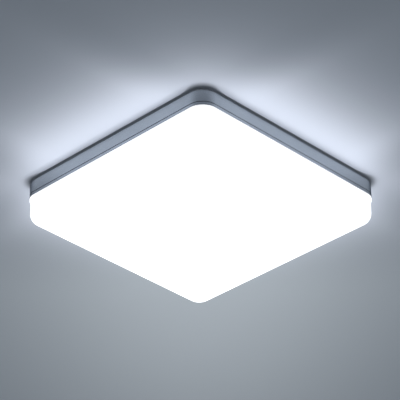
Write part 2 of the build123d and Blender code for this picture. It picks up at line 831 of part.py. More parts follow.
# Screws through the ears of the driver
ear_screw = make_screw(ear_thickness + ear_standoff_height - screw_tip_gap)
with BuildPart() as driver_screws:
    with Locations(*[point + Vector(0, 0, ear_top_z) for point in driver_ears]):
        add(ear_screw)
driver_screws.part.label = "driver_screws"
export_step(driver_screws.part, "parts/driver_screws.step")

# Terminal block: two poles, each with a lever slot, a supply hole and an outgoing wire hole
terminal_top_z = panel_top_z + terminal_height
terminal_north = terminal_y + terminal_length / 2
terminal_south = terminal_y - terminal_length / 2
pole_xs = (terminal_x + pole_pitch / 2, terminal_x - pole_pitch / 2)
lever_axis_y = terminal_y - lever_axis_back
lever_axis_z = terminal_top_z - lever_axis_drop
slot_floor_z = lever_axis_z - lever_hub_radius - lever_hub_gap
slot_south = lever_axis_y - lever_hub_radius - lever_hub_gap
with BuildPart() as terminal_block:
    with BuildSketch(Plane.XY.offset(panel_top_z)):
        with Locations((terminal_x, terminal_y)):
            Rectangle(terminal_width, terminal_length)
    extrude(amount=terminal_height)
    with BuildSketch(Plane.XY.offset(ear_bottom_z)):
        with Locations((terminal_x, terminal_y)):
            Rectangle(terminal_width + 2 * ear_length, ear_width)
        with Locations(*terminal_ears):
            Circle(pass_hole_radius, mode=Mode.SUBTRACT)
    extrude(amount=ear_thickness)
    with BuildSketch(Plane.XY.offset(slot_floor_z)):
        with Locations(*[(x, slot_south) for x in pole_xs]):
            Rectangle(
                terminal_slot, terminal_north - slot_south, align=(Align.CENTER, Align.MIN)
            )
    extrude(amount=terminal_top_z - slot_floor_z, mode=Mode.SUBTRACT)
    with BuildSketch(Plane.YZ.offset(terminal_x)):
        with Locations((lever_axis_y, lever_axis_z)):
            Circle(lever_pin_radius + lever_pin_clearance)
    extrude(amount=terminal_width / 2, both=True, mode=Mode.SUBTRACT)
    with BuildSketch(Plane.XZ.offset(-terminal_north)):
        with Locations(*[(x, wire_z) for x in pole_xs]):
            Circle(supply_hole_radius)
    extrude(amount=supply_hole_depth, mode=Mode.SUBTRACT)
    with BuildSketch(Plane.XZ.offset(-terminal_south)):
        with Locations(*[(x, wire_z) for x in pole_xs]):
            Circle(mains_hole_radius)
    extrude(amount=-wire_insert - wire_hole_spare, mode=Mode.SUBTRACT)
terminal_block.part.label = "terminal_block"
export_step(terminal_block.part, "parts/terminal_block.step")

# Screws through the ears of the terminal block
with BuildPart() as terminal_screws:
    with Locations(*[point + Vector(0, 0, ear_top_z) for point in terminal_ears]):
        add(ear_screw)
terminal_screws.part.label = "terminal_screws"
export_step(terminal_screws.part, "parts/terminal_screws.step")

# One lever, hinged across its hub, lying flat in its slot
lever_width = terminal_slot - 2 * lever_side_gap
with BuildPart() as lever:
    with BuildSketch(Plane.YZ):
        with Locations((lever_axis_y, lever_axis_z)):
            Circle(lever_hub_radius)
        with Locations((lever_axis_y, lever_axis_z + lever_hub_radius - lever_thickness)):
            Rectangle(lever_reach, lever_thickness, align=(Align.MIN, Align.MIN))
    extrude(amount=lever_width / 2, both=True)
    tip_edges = lever.edges().filter_by(Axis.X).group_by(Axis.Y)[-1]
    fillet(tip_edges, lever_thickness / 4)
    with BuildSketch(Plane.YZ):
        with Locations((lever_axis_y, lever_axis_z)):
            Circle(lever_pin_radius)
    extrude(amount=terminal_slot / 2 + lever_pin_length, both=True)

# The two levers
with BuildPart() as lever_live:
    with Locations((pole_xs[1], 0, 0)):
        add(lever.part)
lever_live.part.label = "lever_live"
export_step(lever_live.part, "parts/lever_live.step")

with BuildPart() as lever_neutral:
    with Locations((pole_xs[0], 0, 0)):
        add(lever.part)
lever_neutral.part.label = "lever_neutral"
export_step(lever_neutral.part, "parts/lever_neutral.step")

# Cord clamp: a bar with two teeth under it
with BuildPart() as cord_clamp:
    with BuildSketch(Plane.XY.offset(clamp_seat_z)):
        with Locations((terminal_x, clamp_y)):
            SlotOverall(clamp_length, clamp_width)
        with Locations(*clamp_points):
            Circle(pass_hole_radius, mode=Mode.SUBTRACT)
    extrude(amount=clamp_thickness)
    tooth_length = clamp_screw_pitch - 2 * standoff_radius - 2 * clamp_tooth_width
    with BuildSketch(Plane.XY.offset(clamp_seat_z)):
        with Locations(
            (terminal_x, clamp_y - clamp_width / 4), (terminal_x, clamp_y + clamp_width / 4)
        ):
            Rectangle(tooth_length, clamp_tooth_width)
    extrude(amount=-clamp_tooth_height)
cord_clamp.part.label = "cord_clamp"
export_step(cord_clamp.part, "parts/cord_clamp.step")

# Screws of the cord clamp
clamp_screw = make_screw(clamp_thickness + clamp_gap - screw_tip_gap)
clamp_top_z = clamp_seat_z + clamp_thickness
with BuildPart() as cord_clamp_screws:
    with Locations(*[point + Vector(0, 0, clamp_top_z) for point in clamp_points]):
        add(clamp_screw)
cord_clamp_screws.part.label = "cord_clamp_screws"
export_step(cord_clamp_screws.part, "parts/cord_clamp_screws.step")

# Grommet in the chassis plate, flanged on both faces
with BuildPart() as wire_grommet:
    with BuildSketch(Plane.XY.offset(panel_bottom_z - grommet_flange)):
        with Locations((grommet_x, driver_y)):
            Circle(grommet_flange_radius)
    extrude(amount=grommet_flange)
    with BuildSketch(Plane.XY.offset(panel_bottom_z)):
        with Locations((grommet_x, driver_y)):
            Circle(grommet_neck_radius)
    extrude(amount=panel_thickness)
    with BuildSketch(Plane.XY.offset(panel_top_z)):
        with Locations((grommet_x, driver_y)):
            Circle(grommet_flange_radius)
    extrude(amount=grommet_flange)
    with BuildSketch(Plane.XY.offset(panel_bottom_z - grommet_flange)):
        with Locations((grommet_x, driver_y)):
            Circle(grommet_bore_radius)
    extrude(amount=panel_thickness + 2 * grommet_flange, mode=Mode.SUBTRACT)
wire_grommet.part.label = "wire_grommet"
export_step(wire_grommet.part, "parts/wire_grommet.step")

# Routes of the wires: mains from the terminals to the driver, then through the grommet to the board
circuit_west = driver_x - circuit_length / 2
circuit_east = driver_x + circuit_length / 2
mains_start_y = terminal_south + wire_insert
wire_routes = {}
for name, pole_x, wire_y in zip(("live_wire", "neutral_wire"), reversed(pole_xs), reversed(mains_wire_ys)):
    wire_routes[name] = [
        (pole_x, mains_start_y, wire_z),
        (pole_x, wire_y, wire_z),
        (circuit_west, wire_y, wire_z),
    ]
for name, wire_y in zip(("led_plus_wire", "led_minus_wire"), led_wire_ys):
    wire_routes[name] = [
        (circuit_east, wire_y, wire_z),
        (grommet_x, wire_y, wire_z),
        (grommet_x, wire_y, connector_wire_z),
        (connector_east - wire_insert, wire_y, connector_wire_z),
    ]

# Wires: round sweeps along straight runs joined by arcs
for name, points in wire_routes.items():
    mains = name in ("live_wire", "neutral_wire")
    with BuildPart() as wire:
        with BuildLine():
            route = FilletPolyline(*points, radius=mains_wire_bend if mains else led_wire_bend)
        with BuildSketch(Plane(origin=route @ 0, z_dir=route % 0)) as section:
            Circle(mains_wire_radius if mains else led_wire_radius)
        sweep(path=route)
    expected = section.sketch.area * route.length
    print(name, "volume", round(wire.part.volume, 2), "section times length", round(expected, 2))
    wire.part.label = name
    export_step(wire.part, "parts/" + name + ".step")
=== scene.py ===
"""Looks of a square flush LED ceiling light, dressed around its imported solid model.

The ceiling is the plane z = 0 and the light hangs below it. Lengths are metres,
unless a name ends in _mm.
"""
import logging
import math
from dataclasses import dataclass, field
from enum import Enum
from typing import Any, Iterable, Optional

import bmesh
import bpy
from mathutils import Matrix, Vector

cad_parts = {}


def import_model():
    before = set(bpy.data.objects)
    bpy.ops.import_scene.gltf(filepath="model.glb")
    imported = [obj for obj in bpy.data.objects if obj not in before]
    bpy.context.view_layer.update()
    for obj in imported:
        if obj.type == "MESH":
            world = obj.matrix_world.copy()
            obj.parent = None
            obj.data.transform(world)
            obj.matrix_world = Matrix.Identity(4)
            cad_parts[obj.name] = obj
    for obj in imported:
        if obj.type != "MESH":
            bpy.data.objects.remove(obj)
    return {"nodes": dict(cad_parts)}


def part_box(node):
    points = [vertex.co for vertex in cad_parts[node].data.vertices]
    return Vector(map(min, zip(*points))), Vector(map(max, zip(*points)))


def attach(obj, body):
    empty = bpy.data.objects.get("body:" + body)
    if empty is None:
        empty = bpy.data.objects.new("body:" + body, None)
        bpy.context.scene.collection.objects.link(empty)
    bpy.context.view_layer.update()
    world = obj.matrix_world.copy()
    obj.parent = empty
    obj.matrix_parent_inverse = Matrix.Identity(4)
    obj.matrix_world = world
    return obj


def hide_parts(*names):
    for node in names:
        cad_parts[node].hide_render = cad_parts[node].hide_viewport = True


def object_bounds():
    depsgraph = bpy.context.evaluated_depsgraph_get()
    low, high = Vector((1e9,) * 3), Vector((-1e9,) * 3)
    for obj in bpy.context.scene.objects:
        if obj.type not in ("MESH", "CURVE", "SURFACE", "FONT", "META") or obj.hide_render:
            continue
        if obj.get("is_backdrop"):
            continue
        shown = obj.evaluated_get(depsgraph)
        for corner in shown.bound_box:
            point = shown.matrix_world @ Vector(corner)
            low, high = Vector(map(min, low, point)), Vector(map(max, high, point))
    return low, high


LOG = logging.getLogger("ceiling_light")
MM = 0.001
CORNER_RADIUS = 19.6 * MM
LED_PITCH_MM = 40.0

# Sockets of the mix node when it mixes colours
MIX_A = 6
MIX_B = 7
MIX_RESULT = 2

# Ranges that one noise pattern and the sum of two mostly keep to
GRAIN_RANGE = (0.3, 0.7)
CLOUD_RANGE = (0.7, 1.3)


def linear(hex_colour: str) -> tuple[float, float, float, float]:
    """Turn an sRGB hex value into linear RGBA.

    Args:
        hex_colour: Colour such as "#98A3B4".

    Returns:
        Red, green, blue and alpha in linear light.
    """
    parts = [int(hex_colour[place : place + 2], 16) / 255 for place in (1, 3, 5)]
    red, green, blue = (p / 12.92 if p <= 0.04045 else ((p + 0.055) / 1.055) ** 2.4 for p in parts)
    return red, green, blue, 1.0


def add_node(
    tree: bpy.types.NodeTree, kind: str, inputs: Optional[dict[Any, Any]] = None, **settings: Any
) -> bpy.types.Node:
    """Add a node with its settings, and fill or link its inputs.

    Args:
        tree: Node tree that takes the node.
        kind: Blender's name of the node's type.
        inputs: Values or output sockets, by the input's name or number.
        settings: Properties of the node.

    Returns:
        The new node.
    """
    node = tree.nodes.new(kind)
    for name, value in settings.items():
        setattr(node, name, value)
    for socket, value in (inputs or {}).items():
        if isinstance(value, bpy.types.NodeSocket):
            tree.links.new(value, node.inputs[socket])
        else:
            node.inputs[socket].default_value = value
    return node


def calc(tree: bpy.types.NodeTree, operation: str, *values: Any, clamp: bool = False) -> bpy.types.NodeSocket:
    """Add one step of a calculation.

    Args:
        tree: Node tree that takes the step.
        operation: Blender's name of the step, such as "ADD".
        values: Numbers or output sockets.
        clamp: Whether the result is kept between 0 and 1.

    Returns:
        Socket with the result.
    """
    node = add_node(tree, "ShaderNodeMath", dict(enumerate(values)), operation=operation, use_clamp=clamp)
    return node.outputs[0]


def vector_calc(tree: bpy.types.NodeTree, operation: str, *values: Any) -> bpy.types.NodeSocket:
    """Add one step of a calculation with vectors.

    Args:
        tree: Node tree that takes the step.
        operation: Blender's name of the step, such as "SUBTRACT".
        values: Vectors or output sockets.

    Returns:
        Socket with the result, a number for a length or a dot product and otherwise a vector.
    """
    node = add_node(tree, "ShaderNodeVectorMath", dict(enumerate(values)), operation=operation)
    return node.outputs["Value" if operation in ("LENGTH", "DOT_PRODUCT") else "Vector"]


def soft_step(
    tree: bpy.types.NodeTree, value: Any, start: Any, end: Any, low: float = 0.0, high: float = 1.0
) -> bpy.types.NodeSocket:
    """Go softly from one number to another while a value passes a stretch.

    Args:
        tree: Node tree that takes the step.
        value: Socket with the value.
        start: Where the stretch begins.
        end: Where it ends.
        low: Number at its beginning.
        high: Number at its end.

    Returns:
        Socket with the number.
    """
    node = add_node(
        tree,
        "ShaderNodeMapRange",
        {"Value": value, "From Min": start, "From Max": end, "To Min": low, "To Max": high},
        interpolation_type="SMOOTHSTEP",
    )
    return node.outputs["Result"]


def blend(tree: bpy.types.NodeTree, share: Any, first: Any, second: Any) -> bpy.types.NodeSocket:
    """Mix two colours.

    Args:
        tree: Node tree that takes the mix.
        share: Share of the second colour.
        first: First colour, or its socket.
        second: Second colour, or its socket.

    Returns:
        Socket with the mixed colour.
    """
    node = add_node(tree, "ShaderNodeMix", {0: share, MIX_A: first, MIX_B: second}, data_type="RGBA")
    return node.outputs[MIX_RESULT]


def led_grid(
    tree: bpy.types.NodeTree, pitch_mm: float
) -> tuple[bpy.types.NodeSocket, bpy.types.NodeSocket]:
    """Lay a grid over a piece, with an LED at each of its knots.

    Args:
        tree: Node tree of the material.
        pitch_mm: Distance between the LEDs.

    Returns:
        Socket with the place in the grid, and socket with the distance from the nearest LED, both
        counted in pitches.
    """
    place = add_node(tree, "ShaderNodeTexCoord")
    per_metre = 1.0 / (pitch_mm * MM)
    grid = add_node(
        tree,
        "ShaderNodeMapping",
        {
            "Vector": place.outputs["Object"],
            "Scale": (per_metre, per_metre, 0.0),
            "Location": (0.5, 0.5, 0.0),
        },
    )
    spots = add_node(
        tree,
        "ShaderNodeTexVoronoi",
        {"Vector": grid.outputs[0], "Scale": 1.0, "Randomness": 0.0},
        voronoi_dimensions="2D",
    )
    return grid.outputs[0], spots.outputs["Distance"]


def beside_axes(tree: bpy.types.NodeTree) -> tuple[bpy.types.NodeSocket, bpy.types.NodeSocket]:
    """Measure how far a point lies from the X and Y axes of the light.

    Args:
        tree: Node tree of the material.

    Returns:
        Socket with the distances as a vector, and socket with the smaller of the two.
    """
    place = add_node(tree, "ShaderNodeTexCoord")
    distances = vector_calc(tree, "ABSOLUTE", place.outputs["Object"])
    axes = add_node(tree, "ShaderNodeSeparateXYZ", {0: distances})
    return distances, calc(tree, "MINIMUM", axes.outputs["X"], axes.outputs["Y"])


class Grain(Enum):
    """How a surface was made, which decides the pattern that it shows."""

    MOULDED = "moulded"
    COATED = "coated"
    ROLLED = "rolled"
    PLATED = "plated"
    SPANGLED = "hot-dip galvanised"
    FOAMED = "foamed"


@dataclass(frozen=True)
class Finish:
    """A material: what it is, how its surface was made and how that looks.

    Attributes:
        name: Common name of the material and of its making.
        tone: Main colour, sRGB hex.
        shade: Colour that the grain mixes in, sRGB hex.
        grain: How the surface was made.
        grain_mm: Size of the pattern along X, Y and Z.
        relief_mm: Height of the pattern.
        roughness: Mean roughness.
        spread: How far the grain moves the roughness.
        metallic: 1 for bare metal.
        ior: Refractive index; bare metal keeps the default.
        cloud_mm: Size of the slow unevenness of tone.
    """

    name: str
    tone: str
    shade: str
    grain: Grain
    grain_mm: tuple[float, float, float]
    relief_mm: float
    roughness: float
    spread: float = 0.06
    metallic: float = 0.0
    ior: float = 1.5
    cloud_mm: float = 40.0

    def pattern(self, tree: bpy.types.NodeTree) -> bpy.types.NodeSocket:
        """Draw the grain in the piece's own coordinates.

        Args:
            tree: Node tree of the material.

        Returns:
            Socket with the grain, from 0 to 1.
        """
        place = add_node(tree, "ShaderNodeTexCoord")
        per_metre = [1.0 / (size * MM) for size in self.grain_mm]
        scaled = add_node(
            tree, "ShaderNodeMapping", {"Vector": place.outputs["Object"], "Scale": per_metre}
        )
        if self.grain is Grain.SPANGLED:
            cells = add_node(tree, "ShaderNodeTexVoronoi", {"Vector": scaled.outputs[0], "Scale": 1.0})
            return cells.outputs["Color"]
        if self.grain is Grain.FOAMED:
            cells = add_node(tree, "ShaderNodeTexVoronoi", {"Vector": scaled.outputs[0], "Scale": 1.0})
            return cells.outputs["Distance"]
        noise = add_node(
            tree, "ShaderNodeTexNoise", {"Vector": scaled.outputs[0], "Scale": 1.0, "Detail": 3.0}
        )
        return noise.outputs[0]

    def clouded(self, tree: bpy.types.NodeTree, grain: bpy.types.NodeSocket) -> bpy.types.NodeSocket:
        """Mix a slow unevenness into the grain, for the colour.

        Args:
            tree: Node tree of the material.
            grain: Socket with the grain.

        Returns:
            Socket with the share of the shade.
        """
        place = add_node(tree, "ShaderNodeTexCoord")
        cloud = add_node(
            tree,
            "ShaderNodeTexNoise",
            {"Vector": place.outputs["Object"], "Scale": 1.0 / (self.cloud_mm * MM), "Detail": 2.0},
        )
        both = calc(tree, "ADD", grain, cloud.outputs[0])
        low, high = CLOUD_RANGE
        share = add_node(tree, "ShaderNodeMapRange", {"Value": both, "From Min": low, "From Max": high})
        return share.outputs["Result"]

    def dress_shader(self, tree: bpy.types.NodeTree, shader: bpy.types.Node) -> None:
        """Add what only a special finish has; a plain one has nothing more.

        Args:
            tree: Node tree of the material.
            shader: Its surface shader.
        """

    def material(self) -> bpy.types.Material:
        """Make the material, or give the one already made.

        Returns:
            The node material.
        """
        made = bpy.data.materials.get(self.name)
        if made is not None:
            return made
        made = bpy.data.materials.new(self.name)
        made.use_nodes = True
        tree = made.node_tree
        tree.nodes.clear()
        grain = self.pattern(tree)
        low, high = GRAIN_RANGE
        rough = add_node(
            tree,
            "ShaderNodeMapRange",
            {
                "Value": grain,
                "From Min": low,
                "From Max": high,
                "To Min": self.roughness - self.spread,
                "To Max": self.roughness + self.spread,
            },
        )
        bump = add_node(
            tree, "ShaderNodeBump", {"Height": grain, "Distance": self.relief_mm * MM, "Strength": 1.0}
        )
        shader = add_node(
            tree,
            "ShaderNodeBsdfPrincipled",
            {
                "Base Color": blend(tree, self.clouded(tree, grain), linear(self.tone), linear(self.shade)),
                "Roughness": rough.outputs["Result"],
                "Normal": bump.outputs["Normal"],
                "Metallic": self.metallic,
                "IOR": self.ior,
            },
        )
        self.dress_shader(tree, shader)
        add_node(tree, "ShaderNodeOutputMaterial", {"Surface": shader.outputs[0]})
        return made


@dataclass(frozen=True)
class LitAcrylic(Finish):
    """Opal acrylic with the LED board shining through it.

    Attributes:
        glow: Colour of the light in the face, sRGB hex.
        glow_lip: Its colour at the lip, which the LEDs reach least, sRGB hex.
        glow_inside: Its colour on the inner side, which shows when the diffuser is off, sRGB hex.
        glow_strength: Strength of the light.
        lip_mm: Level of the lip's top.
        face_mm: Level below which the sheet is fully lit.
        hollow_mm: Level of the hollow's middle; the inner side is the one that faces it.
        led_pitch_mm: Distance between the LEDs behind it.
        spot_share: How much dimmer the face is between the LEDs.
    """

    glow: str = "#FFFFFF"
    glow_lip: str = "#F6F7F9"
    glow_inside: str = "#8C9094"
    glow_strength: float = 1.0
    lip_mm: float = -24.9
    face_mm: float = -48.0
    hollow_mm: float = -40.0
    led_pitch_mm: float = LED_PITCH_MM
    spot_share: float = 0.08

    def dress_shader(self, tree: bpy.types.NodeTree, shader: bpy.types.Node) -> None:
        """Light the sheet, least at its lip and most in front of each LED, and dim its inner side.

        Args:
            tree: Node tree of the material.
            shader: Its surface shader.
        """
        from_led = led_grid(tree, self.led_pitch_mm)[1]
        place = add_node(tree, "ShaderNodeTexCoord")
        axes = add_node(tree, "ShaderNodeSeparateXYZ", {0: place.outputs["Object"]})
        depth = soft_step(tree, axes.outputs["Z"], self.lip_mm * MM, self.face_mm * MM)
        lit = calc(tree, "MULTIPLY_ADD", from_led, -self.spot_share, depth, clamp=True)
        light = blend(tree, lit, linear(self.glow_lip), linear(self.glow))
        from_middle = vector_calc(tree, "SUBTRACT", place.outputs["Object"], (0.0, 0.0, self.hollow_mm * MM))
        outward = vector_calc(tree, "DOT_PRODUCT", place.outputs["Normal"], from_middle)
        inside = calc(tree, "LESS_THAN", outward, 0.0)
        glow = blend(tree, inside, light, linear(self.glow_inside))
        tree.links.new(glow, shader.inputs["Emission Color"])
        shader.inputs["Emission Strength"].default_value = self.glow_strength


@dataclass(frozen=True)
class FlakeLacquer(Finish):
    """Lacquer with metal flakes, its reflection tinted darker at a low angle, with painted shade round the
    corners.

    Attributes:
        edge_tone: Tint of the reflection at a low angle, sRGB hex.
        painted_corner_shade: Painted shade round the corners, sRGB hex.
        shaded_corner_mm: Distances from an axis where that painted shade begins and is full.
    """

    edge_tone: str = "#FFFFFF"
    painted_corner_shade: str = "#FFFFFF"
    shaded_corner_mm: tuple[float, float] = (126.0, 142.0)

    def dress_shader(self, tree: bpy.types.NodeTree, shader: bpy.types.Node) -> None:
        """Tint the reflection at low angles, and paint shade on the corners.

        Args:
            tree: Node tree of the material.
            shader: Its surface shader.
        """
        shader.inputs["Specular Tint"].default_value = linear(self.edge_tone)
        # Painted shade: the lacquer's colour turns darker round the corners.
        begin, full = self.shaded_corner_mm
        share = soft_step(tree, beside_axes(tree)[1], begin * MM, full * MM)
        flat = shader.inputs["Base Color"].links[0].from_socket
        tree.links.new(blend(tree, share, flat, linear(self.painted_corner_shade)), shader.inputs["Base Color"])


@dataclass(frozen=True)
class ClearAcrylic(Finish):
    """Clear moulded acrylic, which light passes through.

    Attributes:
        clear_share: Share of the light that passes; the rest is haze.
    """

    clear_share: float = 0.75

    def dress_shader(self, tree: bpy.types.NodeTree, shader: bpy.types.Node) -> None:
        """Let the light through."""
        shader.inputs["Transmission Weight"].default_value = self.clear_share


@dataclass(frozen=True)
class Phosphor(Finish):
    """Yellow phosphor in silicone, lit from behind by its LED.

    Attributes:
        glow_strength: Strength of its light.
    """

    glow_strength: float = 1.0

    def dress_shader(self, tree: bpy.types.NodeTree, shader: bpy.types.Node) -> None:
        """Let the filling shine."""
        shader.inputs["Emission Color"].default_value = linear(self.tone)
        shader.inputs["Emission Strength"].default_value = self.glow_strength


@dataclass(frozen=True)
class PrintedMask(Finish):
    """Solder mask over copper tracks, with a printed ring round each lens.

    Attributes:
        led_pitch_mm: Distance between the LEDs.
        ring_mm: Radius of the printed ring.
        ring_line_mm: Half the width of the ring's line.
        track_mm: Half the width of a copper track.
        ink: Colour of the print, sRGB hex.
        track: Colour of the mask where a track lies under it, sRGB hex.
    """

    led_pitch_mm: float = LED_PITCH_MM
    ring_mm: float = 8.2
    ring_line_mm: float = 0.25
    track_mm: float = 2.2
    ink: str = "#6F747A"
    track: str = "#DAD9CF"

    def dress_shader(self, tree: bpy.types.NodeTree, shader: bpy.types.Node) -> None:
        """Lay the tracks and the printed rings over the mask's colour.

        Args:
            tree: Node tree of the material.
            shader: Its surface shader.
        """
        pitch = self.led_pitch_mm
        grid, from_led = led_grid(tree, pitch)
        ring = calc(tree, "COMPARE", from_led, self.ring_mm / pitch, self.ring_line_mm / pitch)
        axes = add_node(tree, "ShaderNodeSeparateXYZ", {0: grid})
        row = calc(tree, "PINGPONG", axes.outputs["Y"], 1.0)
        run = calc(tree, "COMPARE", row, 0.0, self.track_mm / pitch)
        under = shader.inputs["Base Color"].links[0].from_socket
        tracked = blend(tree, run, under, linear(self.track))
        printed = blend(tree, ring, tracked, linear(self.ink))
        tree.links.new(printed, shader.inputs["Base Color"])


def lead_pvc(colour: str, tone: str, shade: str) -> Finish:
    """Give a lead's sleeve its finish: extruded PVC, smooth and a little waxy.

    Args:
        colour: Name of its colour.
        tone: Main colour, sRGB hex.
        shade: Colour of its slow unevenness, sRGB hex.

    Returns:
        The finish.
    """
    name = f"{colour} PVC, extruded"
    return Finish(name, tone, shade, Grain.MOULDED, (1.0, 1.0, 1.0), 0.004, 0.4, ior=1.53)


# Silver-grey lacquer sprayed on moulded ABS: its aluminium flakes mirror the ceiling softly, and
# the binder between them stays matt. The flakes, about 0.03 mm, are drawn at 0.5 mm so that they show.
SILVER_LACQUER = FlakeLacquer(
    "silver-grey metallic lacquer, sprayed",
    "#B6BCC1",
    "#AFB5BB",
    Grain.COATED,
    (0.5, 0.5, 0.5),
    0.003,
    0.16,
    spread=0.04,
    metallic=0.85,
    edge_tone="#6F757E",
    # Painted shade: the colour that darkens the lacquer round the corners.
    painted_corner_shade="#959BA1",
)
# White ABS of the hidden frame: moulded, with a faint grain and a low gloss.
WHITE_ABS = Finish(
    "white ABS, moulded", "#E3E5E6", "#D9DCDE", Grain.MOULDED, (0.8, 0.8, 0.8), 0.008, 0.38, ior=1.54
)
# Opal acrylic, injection moulded with a satin face: bright, even and without a sharp reflection.
OPAL_ACRYLIC = LitAcrylic(
    "opal acrylic, moulded and lit",
    "#F2F4F6",
    "#EBEEF1",
    Grain.MOULDED,
    (0.7, 0.7, 0.7),
    0.004,
    0.36,
    ior=1.49,
    glow_strength=0.86,
)
# Clear acrylic of the lens caps: polished moulds give it a glassy face.
CLEAR_ACRYLIC = ClearAcrylic(
    "clear acrylic, moulded",
    "#F6FAFC",
    "#F0F6FA",
    Grain.MOULDED,
    (3.0, 3.0, 3.0),
    0.002,
    0.12,
    spread=0.04,
    ior=1.49,
)
# Sheet steel with white powder coat: melted powder leaves a fine orange peel.
POWDER_COAT = Finish(
    "white powder coat on steel", "#E4E6E7", "#D8DBDD", Grain.COATED, (1.6, 1.6, 1.6), 0.02, 0.45, ior=1.52
)
# Hot-dip galvanised sheet: zinc crystals of some 5 mm catch the light one by one.
GALVANISED_STEEL = Finish(
    "hot-dip galvanised steel",
    "#B9BDC0",
    "#8F9498",
    Grain.SPANGLED,
    (5.0, 5.0, 5.0),
    0.004,
    0.42,
    spread=0.1,
    metallic=1.0,
)
# Hardened spring strip: rolled, so faint streaks run along it, with a blue-grey cast.
SPRING_STEEL = Finish(
    "rolled spring steel",
    "#A3A7AC",
    "#878C93",
    Grain.ROLLED,
    (12.0, 0.5, 12.0),
    0.002,
    0.30,
    metallic=1.0,
)
# Zinc-plated screws and standoffs: bright, slightly blue passivation with a cloudy bloom.
ZINC_PLATE = Finish(
    "zinc-plated steel",
    "#C3C8CB",
    "#A6ABAE",
    Grain.PLATED,
    (1.2, 1.2, 1.2),
    0.003,
    0.32,
    metallic=1.0,
    cloud_mm=6.0,
)
# Set aluminium rivets: plain drawn wire, dull where the tool pressed it.
RIVET_ALUMINIUM = Finish(
    "set aluminium rivet",
    "#D0D2D4",
    "#B4B7BA",
    Grain.PLATED,
    (0.8, 0.8, 0.8),
    0.004,
    0.36,
    metallic=1.0,
    cloud_mm=5.0,
)
# Closed-cell foam: dull black, its small cut cells drawn at 0.9 mm so that they show.
FOAM = Finish(
    "closed-cell foam", "#2A2B2D", "#161718", Grain.FOAMED, (0.9, 0.9, 0.9), 0.2, 0.92, ior=1.45
)
# Extruded silicone of the rim seal: soft grey with a waxy sheen.
SILICONE = Finish(
    "grey silicone, extruded", "#5A6069", "#4E545C", Grain.MOULDED, (2.0, 2.0, 2.0), 0.01, 0.6, ior=1.41
)
# Moulded rubber grommet: black and slightly dusty.
RUBBER = Finish(
    "black rubber, moulded", "#232426", "#1A1B1C", Grain.MOULDED, (0.5, 0.5, 0.5), 0.01, 0.7, ior=1.52
)
# Aluminium board under white solder mask: faint tracks and a printed ring at each lens.
WHITE_MASK = PrintedMask(
    "white solder mask on aluminium",
    "#F1F0EA",
    "#E8E7E0",
    Grain.COATED,
    (0.9, 0.9, 0.9),
    0.004,
    0.38,
    ior=1.55,
)
# White polyamide of the LED packages, the plug and the clamp: a fine, dull moulding.
WHITE_NYLON = Finish(
    "white polyamide, moulded", "#ECEBE6", "#E1E0DA", Grain.MOULDED, (0.4, 0.4, 0.4), 0.004, 0.45, ior=1.53
)
# Phosphor cast into the cups: matt yellow that glows.
YELLOW_PHOSPHOR = Phosphor(
    "phosphor in silicone",
    "#F5D873",
    "#E8C65A",
    Grain.MOULDED,
    (0.2, 0.2, 0.2),
    0.004,
    0.6,
    ior=1.41,
    glow_strength=3.0,
)
# Flame-retardant polycarbonate of the driver: off-white with a coarse spark grain.
DRIVER_SHELL = Finish(
    "white polycarbonate, moulded",
    "#E6E5DF",
    "#DBDAD3",
    Grain.MOULDED,
    (0.9, 0.9, 0.9),
    0.012,
    0.48,
    ior=1.58,
)
# Glass-fibre laminate under green mask: smooth and slightly uneven.
CIRCUIT_GREEN = Finish(
    "green solder mask on laminate", "#2E6B3F", "#255733", Grain.COATED, (0.8, 0.8, 0.8), 0.01, 0.35, ior=1.55
)
# Ferrite of the transformer: dark, ground grey.
FERRITE = Finish(
    "ground ferrite", "#3A3838", "#2B2A2A", Grain.PLATED, (0.5, 0.5, 0.5), 0.01, 0.55, ior=1.6
)
# Heat-shrunk sleeve of the capacitors: tight and glossy.
SLEEVE = Finish(
    "shrunk PVC sleeve", "#20242E", "#1A1D26", Grain.MOULDED, (1.5, 1.5, 1.5), 0.004, 0.28, ior=1.53
)
# Light grey nylon of the terminal block, with a fine mould grain.
GREY_NYLON = Finish(
    "grey nylon, moulded", "#BFC3C6", "#B2B6BA", Grain.MOULDED, (0.6, 0.6, 0.6), 0.008, 0.45, ior=1.53
)
# Orange nylon of the levers: saturated and a little glossy.
ORANGE_NYLON = Finish(
    "orange nylon, moulded", "#E8782A", "#D96A1E", Grain.MOULDED, (0.6, 0.6, 0.6), 0.006, 0.35, ior=1.53
)
# Extruded PVC of the leads, in the usual colours of each pole.
BROWN_PVC = lead_pvc("brown", "#6B4226", "#5C371E")
BLUE_PVC = lead_pvc("blue", "#2E63B0", "#27569B")
RED_PVC = lead_pvc("red", "#B42A25", "#9E221E")
BLACK_PVC = lead_pvc("black", "#2B2B2D", "#222224")


def dress(nodes: dict[str, bpy.types.Object], finish: Finish, names: Iterable[str]) -> None:
    """Give solid-model pieces their finish, through their material slots.

    Args:
        nodes: Pieces of the solid model by name.
        finish: Finish that they get.
        names: Pieces to dress.
    """
    for name in names:
        for place in nodes[name].material_slots:
            place.material = finish.material()
        LOG.info("%s: %s", name, finish.name)


def rounded_square(half: float, corner: float, steps: int) -> list[tuple[Vector, Vector]]:
    """Walk round a square with round corners.

    Args:
        half: Half the side.
        corner: Radius of the corners.
        steps: Stretches in each corner.

    Returns:
        Points in the XY plane, each with its outward direction.
    """
    walk = []
    for quarter in range(4):
        start = quarter * math.pi / 2
        centre = Vector((half - corner, half - corner, 0.0))
        centre = Matrix.Rotation(start, 3, "Z") @ centre
        for step in range(steps + 1):
            angle = start + step / steps * math.pi / 2
            outward = Vector((math.cos(angle), math.sin(angle), 0.0))
            walk.append((centre + outward * corner, outward))
    return walk


